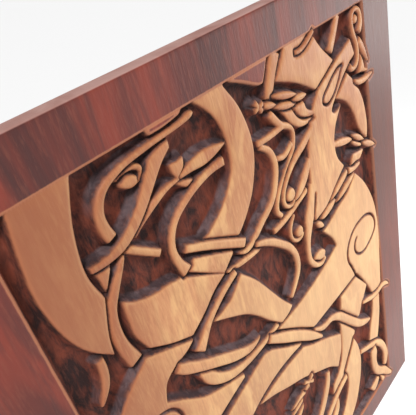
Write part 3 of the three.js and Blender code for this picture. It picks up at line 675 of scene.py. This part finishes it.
def front_surface(forms):
    ring = perimeter(ROUNDED_EDGE)
    rows = np.vstack([offset_rows(form.outline, i) for i, form in enumerate(forms)])
    rows = visible_rows(rows, forms)
    rows = rows[np.argsort(np.abs(rows[:, 3]), kind="stable")][:, :2]
    fine = np.vstack([field_edge_rows(), groove_rows(), rows])
    fine = fine[well_spaced(fine)]
    field = clear_of(grid_points(GRID, lambda d: d < -1), fine, GRID_CLEAR)
    border = clear_of(grid_points(BORDER_GRID, lambda d: d > 4), fine, BORDER_CLEAR)
    points = np.vstack([ring, fine, field, border])
    faces = delaunay_2d_cdt([Vector(p) for p in points], [], [], 0, 1e-6, False)[2]
    return points, Carving(points, forms), [tuple(face) for face in faces], len(ring)


def to_metres(points, height):
    return np.column_stack([points[:, 0] - WIDTH / 2, -height, HEIGHT / 2 - points[:, 1]]) / 1000


def board_mesh(forms):
    """One closed mesh: the carved front, the rounded edges, the sides and the back."""
    points, carving, faces, ring = front_surface(forms)
    border_top = THICKNESS - BORDER_DROP
    spots = [to_metres(points, carving.height)]
    values = {name: [value] for name, value in carving.looks().items()}
    values["side"] = [np.zeros(len(points))]
    first = np.arange(ring)
    corner = ROUNDED_EDGE
    rings = []
    for degrees in (30, 60, 90):
        angle = math.radians(degrees)
        rings.append((corner * (1 - math.sin(angle)), border_top - corner * (1 - math.cos(angle))))
    rings.extend((0.0, height) for height in (12.0, 7.5, 3.0))
    for degrees in (90, 60, 30, 0):
        angle = math.radians(degrees)
        rings.append((corner * (1 - math.sin(angle)), corner * (1 - math.cos(angle))))
    previous = first
    total = len(points)
    quads = []
    for inset, height in rings:
        loop = perimeter(inset)
        spots.append(to_metres(loop, np.full(ring, height)))
        for name, value in (("inside", 12), ("tone", 0.5), ("border", 1), ("gap", NEAR)):
            values[name].append(np.full(ring, float(value)))
        sawn = inset < 0.6 or height < border_top - 1
        values["side"].append(np.full(ring, 2.0 if height <= 0 else float(sawn)))
        current = np.arange(total, total + ring)
        quads.extend((previous[i], current[i], current[(i + 1) % ring], previous[(i + 1) % ring])
            for i in range(ring))
        previous = current
        total += ring
    back_inner = grid_points(20.0, lambda d: d > -1e9)
    back_loop = perimeter(corner)
    back_points = np.vstack([back_loop, back_inner])
    back_faces = delaunay_2d_cdt([Vector(p) for p in back_points], [], [], 0, 1e-6, False)[2]
    spots.append(to_metres(back_inner, np.zeros(len(back_inner))))
    for name in values:
        plain = {"inside": 12, "tone": 0.5, "border": 1, "gap": NEAR, "side": 2}[name]
        values[name].append(np.full(len(back_inner), float(plain)))
    lookup = np.concatenate([previous, np.arange(total, total + len(back_inner))])
    back = [tuple(lookup[list(face)][::-1]) for face in back_faces]
    vertices = np.vstack(spots)
    return vertices, faces + quads + back, {name: np.concatenate(v) for name, v in values.items()}


def make_board():
    vertices, faces, values = board_mesh(carved_forms())
    mesh = bpy.data.meshes.new("carved_relief")
    mesh.from_pydata(vertices.tolist(), [], [tuple(int(i) for i in face) for face in faces])
    mesh.update()
    for name, value in values.items():
        attribute = mesh.attributes.new(name, "FLOAT", "POINT")
        attribute.data.foreach_set("value", value.astype(np.float32))
    mesh.shade_smooth()
    if mesh.polygons[0].normal.y > 0:
        mesh.flip_normals()
    board = bpy.data.objects.new("carved_relief", mesh)
    bpy.context.scene.collection.objects.link(board)
    print("carved_relief:", len(vertices), "points,", sum(len(f) - 2 for f in faces), "triangles")
    return board


# Materials

class Nodes:
    """Short names for making a material's nodes."""

    def __init__(self, name):
        self.material = bpy.data.materials.new(name)
        self.material.use_nodes = True
        self.tree = self.material.node_tree
        self.shader = self.tree.nodes["Principled BSDF"]

    def add(self, kind, **settings):
        node = self.tree.nodes.new(kind)
        for key, value in settings.items():
            setattr(node, key, value)
        return node

    def link(self, output, target):
        self.tree.links.new(output, target)

    def put(self, target, value):
        if isinstance(value, bpy.types.NodeSocket):
            self.link(value, target)
        elif isinstance(value, (tuple, list)) and len(value) == 3 and target.type == "RGBA":
            target.default_value = (*value, 1)
        else:
            target.default_value = value

    def attribute(self, name):
        return self.add("ShaderNodeAttribute", attribute_name=name).outputs["Fac"]

    def math(self, operation, *values, clamp=False):
        node = self.add("ShaderNodeMath", operation=operation, use_clamp=clamp)
        for target, value in zip(node.inputs, values):
            self.put(target, value)
        return node.outputs[0]

    def mix(self, factor, a, b, blend="MIX"):
        node = self.add("ShaderNodeMix", data_type="RGBA", blend_type=blend)
        self.put(node.inputs["Factor"], factor)
        self.put(node.inputs[6], a)
        self.put(node.inputs[7], b)
        return node.outputs[2]

    def ramp(self, value, low, high, start=0.0, end=1.0):
        node = self.add("ShaderNodeMapRange", clamp=True)
        for target, number in zip(node.inputs, (value, low, high, start, end)):
            self.put(target, number)
        return node.outputs[0]

    def place(self, scale):
        """The object's own coordinates, stretched."""
        where = self.add("ShaderNodeTexCoord").outputs["Object"]
        node = self.add("ShaderNodeMapping")
        self.link(where, node.inputs["Vector"])
        node.inputs["Scale"].default_value = scale
        return node.outputs[0]

    def noise(self, vector, scale, detail=3.0, rough=0.55, distortion=0.0):
        node = self.add("ShaderNodeTexNoise")
        self.link(vector, node.inputs["Vector"])
        for name, value in (("Scale", scale), ("Detail", detail), ("Roughness", rough),
                ("Distortion", distortion)):
            node.inputs[name].default_value = value
        return node.outputs["Fac"]


def wood_material():
    n = Nodes("carved_wood")
    inside, tone = n.attribute("inside"), n.attribute("tone")
    border, side, gap = n.attribute("border"), n.attribute("side"), n.attribute("gap")

    # The grain runs up the board, in short streaks
    fine = n.noise(n.place((1.0, 1.0, 0.14)), 520, 3, 0.65)
    streaks = n.noise(n.place((1.0, 1.0, 0.10)), 130, 3, 0.6, 0.5)
    bands = n.noise(n.place((1.0, 1.0, 0.16)), 24, 3, 0.55, 1.0)
    flow = n.noise(n.place((1.0, 1.0, 0.45)), 34, 2, 0.5, 1.4)
    rough_place = n.place((1.0, 1.0, 0.5))
    patch = n.noise(rough_place, 75, 4, 0.65, 0.5)
    marks = n.noise(rough_place, 260, 3, 0.6)
    where = n.add("ShaderNodeSeparateXYZ")
    n.link(n.place((1.0, 1.0, 1.0)), where.inputs[0])
    right, up = where.outputs["X"], where.outputs["Z"]
    normal = n.add("ShaderNodeSeparateXYZ")
    n.link(n.add("ShaderNodeNewGeometry").outputs["Normal"], normal.inputs[0])

    # Distance from the nearest carved edge in millimetres, made a little uneven
    uneven = n.math("MULTIPLY", n.math("SUBTRACT", marks, 0.5), 0.9)
    inside = n.math("ADD", inside, uneven)

    # Raised wood: reddish brown at the far left, gold in the middle, palest low on the right, where a
    # sheen is painted in
    brown, orange, gold = (0.27, 0.070, 0.033), (0.48, 0.165, 0.070), (0.76, 0.43, 0.185)
    tan = n.mix(n.ramp(bands, 0.36, 0.62), (0.42, 0.140, 0.060), (0.60, 0.26, 0.115))
    # Gold in patches, fewer at the far left
    gold_patches = n.math("MULTIPLY", n.ramp(flow, 0.46, 0.64), n.ramp(right, -0.20, -0.08, 0.25, 0.8))
    tan = n.mix(gold_patches, tan, gold)
    tan = n.mix(n.math("MULTIPLY", n.ramp(streaks, 0.48, 0.66), 0.5), tan, (0.36, 0.125, 0.052))
    tan = n.mix(n.math("MULTIPLY", n.ramp(fine, 0.5, 0.66), 0.38), tan, gold)
    tan = n.mix(n.math("MULTIPLY", n.ramp(fine, 0.48, 0.34), 0.32), tan, (0.34, 0.105, 0.045))
    tan = n.mix(n.math("MULTIPLY", tone, 0.3), tan, gold)
    # Painted sheen: the raised wood turns paler low on the right
    pale = n.math("MULTIPLY", n.ramp(up, 0.24, 0.0), n.ramp(right, -0.20, 0.0))
    tan = n.mix(n.math("MULTIPLY", pale, 0.45), tan, (0.80, 0.53, 0.27))
    tan = n.mix(n.ramp(up, 0.13, 0.24, 0.0, 0.45), tan, (0.38, 0.135, 0.056))
    tan = n.mix(n.ramp(right, -0.11, -0.19, 0.0, 0.72), tan, brown)

    # Painted light along the edges: those facing right get a painted gold highlight, those facing left
    # painted orange shade; right at the outline the wood stays dark with stain
    lit = n.ramp(normal.outputs["X"], 0.02, 0.30)
    shaded = n.ramp(normal.outputs["X"], -0.08, -0.40)
    near_edge = n.ramp(inside, 3.6, 0.6)
    tan = n.mix(n.math("MULTIPLY", n.math("MULTIPLY", lit, near_edge), 0.4), tan, gold)
    tan = n.mix(n.math("MULTIPLY", n.math("MULTIPLY", shaded, near_edge), 0.55), tan, orange)
    tan = n.mix(n.math("MULTIPLY", n.ramp(inside, 1.5, 0.3), 0.75), tan, (0.34, 0.105, 0.042))

    # The stained border, with a painted sheen towards the right, rubbed to bare wood along its inner edge
    stain = n.mix(n.ramp(bands, 0.38, 0.60), (0.085, 0.024, 0.021), (0.235, 0.042, 0.026))
    stain = n.mix(n.math("MULTIPLY", n.ramp(streaks, 0.46, 0.64), 0.5), stain, (0.075, 0.028, 0.026))
    stain = n.mix(n.math("MULTIPLY", n.ramp(fine, 0.5, 0.68), 0.3), stain, (0.27, 0.080, 0.050))
    # Painted sheen: the stained border turns greyer and paler towards the right
    grey = n.ramp(right, -0.05, 0.22)
    stain = n.mix(n.math("MULTIPLY", grey, 0.6), stain, (0.145, 0.060, 0.044))
    rubbed = n.math("MULTIPLY", n.ramp(inside, 2.8, 2.0), n.ramp(right, 0.12, 0.20, 0.85, 0.45))
    stain = n.mix(rubbed, stain, (0.48, 0.180, 0.085))

    # The sunk field: red brown and nearly black, grey on walls that face up as end grain with a painted
    # sheen, and painted shade in narrow gaps
    floor = n.mix(n.ramp(patch, 0.40, 0.62), (0.028, 0.010, 0.009), (0.190, 0.042, 0.022))
    floor = n.mix(n.math("MULTIPLY", n.ramp(fine, 0.5, 0.7), 0.35), floor, (0.22, 0.070, 0.045))
    # Walls facing up turn grey: end grain with a painted sheen of the light from above
    wall = n.mix(n.ramp(streaks, 0.42, 0.62), (0.050, 0.032, 0.036), (0.130, 0.088, 0.092))
    end_grain_and_sheen = n.ramp(normal.outputs["Z"], 0.15, 0.65)
    floor = n.mix(n.math("MULTIPLY", end_grain_and_sheen, 0.85), floor, wall)
    # Painted shade: nearly black where the gap between forms is narrow
    floor = n.mix(n.math("MULTIPLY", n.ramp(gap, 6.0, 1.5), 0.75), floor, (0.016, 0.009, 0.010))
    foot = n.math("MULTIPLY", n.ramp(inside, -1.2, 0.0), n.ramp(marks, 0.4, 0.6))
    floor = n.mix(n.math("MULTIPLY", foot, 0.55), floor, (0.20, 0.060, 0.030))

    # The sawn sides, pale as bare end grain with a painted sheen of the light from above, and the plain
    # back
    sides = n.mix(n.ramp(bands, 0.3, 0.7), (0.36, 0.17, 0.14), (0.52, 0.31, 0.27))
    back = n.mix(n.ramp(streaks, 0.35, 0.65), (0.23, 0.11, 0.065), (0.36, 0.19, 0.115))

    sunk = n.ramp(inside, 0.75, -0.35)
    colour = n.mix(sunk, n.mix(border, tan, stain), floor)
    colour = n.mix(n.ramp(side, 0.0, 1.0), colour, sides)
    colour = n.mix(n.ramp(side, 1.0, 2.0), colour, back)
    n.link(colour, n.shader.inputs["Base Color"])

    polish = n.math("MULTIPLY", border, n.ramp(up, -0.08, -0.20))
    roughness = n.math("ADD", n.ramp(sunk, 0, 1, 0.46, 0.75), n.math("MULTIPLY", fine, 0.12))
    roughness = n.math("SUBTRACT", roughness, n.math("MULTIPLY", polish, 0.16))
    n.link(roughness, n.shader.inputs["Roughness"])
    n.shader.inputs["Specular IOR Level"].default_value = 0.32

    # Bump: grain on the raised wood, knife and punch marks in the sunk field
    relief = n.math("ADD", n.math("MULTIPLY", fine, 0.5), n.math("MULTIPLY", streaks, 0.4))
    relief = n.math("ADD", relief, n.math("MULTIPLY", marks, n.ramp(sunk, 0, 1, 0.3, 1.8)))
    bump = n.add("ShaderNodeBump")
    bump.inputs["Strength"].default_value = 0.6
    bump.inputs["Distance"].default_value = 0.0008
    n.link(relief, bump.inputs["Height"])
    n.link(bump.outputs["Normal"], n.shader.inputs["Normal"])
    return n.material


def plain_material(name, colour, roughness):
    n = Nodes(name)
    n.shader.inputs["Base Color"].default_value = (*colour, 1)
    n.shader.inputs["Roughness"].default_value = roughness
    return n.material


# Camera, floor and light

CAMERA_PLACE = Vector((-0.2702, -0.2612, 0.3683))
CAMERA_TARGET = Vector((-0.0552, -0.0177, 0.1837))
CAMERA_ROLL = -15.26
CAMERA_LENS = 43.43


def make_camera():
    data = bpy.data.cameras.new("camera")
    data.sensor_width = 36
    data.lens = CAMERA_LENS
    data.clip_start = 0.01
    camera = bpy.data.objects.new("camera", data)
    aim = (CAMERA_TARGET - CAMERA_PLACE).to_track_quat("-Z", "Y").to_matrix()
    roll = Matrix.Rotation(math.radians(CAMERA_ROLL), 3, "Z")
    camera.matrix_world = Matrix.Translation(CAMERA_PLACE) @ (aim @ roll).to_4x4()
    bpy.context.scene.collection.objects.link(camera)
    bpy.context.scene.camera = camera


def make_floor():
    size = 60.0
    level = LOW[2] / 1000 - 0.0005
    mesh = bpy.data.meshes.new("floor")
    corners = [(-size, -size, level), (size, -size, level), (size, size, level), (-size, size, level)]
    mesh.from_pydata(corners, [], [(0, 1, 2, 3)])
    floor = bpy.data.objects.new("floor", mesh)
    bpy.context.scene.collection.objects.link(floor)
    mesh.materials.append(plain_material("pale_floor", (0.94, 0.94, 0.94), 0.7))


def add_light(name, place, target, size, power):
    data = bpy.data.lights.new(name, "AREA")
    data.shape = "DISK"
    data.size = size
    data.energy = power
    light = bpy.data.objects.new(name, data)
    light.location = place
    light.rotation_mode = "QUATERNION"
    light.rotation_quaternion = (Vector(target) - Vector(place)).to_track_quat("-Z", "Y")
    bpy.context.scene.collection.objects.link(light)


def make_light():
    world = bpy.data.worlds.new("studio")
    world.use_nodes = True
    background = world.node_tree.nodes["Background"]
    background.inputs["Color"].default_value = (1, 1, 1, 1)
    background.inputs["Strength"].default_value = 0.34
    bpy.context.scene.world = world
    data = bpy.data.lights.new("key", "SUN")
    data.energy = 2.75
    data.angle = math.radians(14)
    key = bpy.data.objects.new("key", data)
    key.rotation_mode = "QUATERNION"
    key.rotation_quaternion = Vector((0.40, 0.42, -0.82)).to_track_quat("-Z", "Y")
    bpy.context.scene.collection.objects.link(key)
    add_light("low_right", (0.75, -0.35, 0.10), (0.30, -0.05, -0.30), 0.30, 3)


bpy.context.scene.view_settings.view_transform = "Standard"
make_camera()
make_floor()
make_light()
relief = make_board()
relief.data.materials.append(wood_material())
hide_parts("carved_board")
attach(relief, "root")
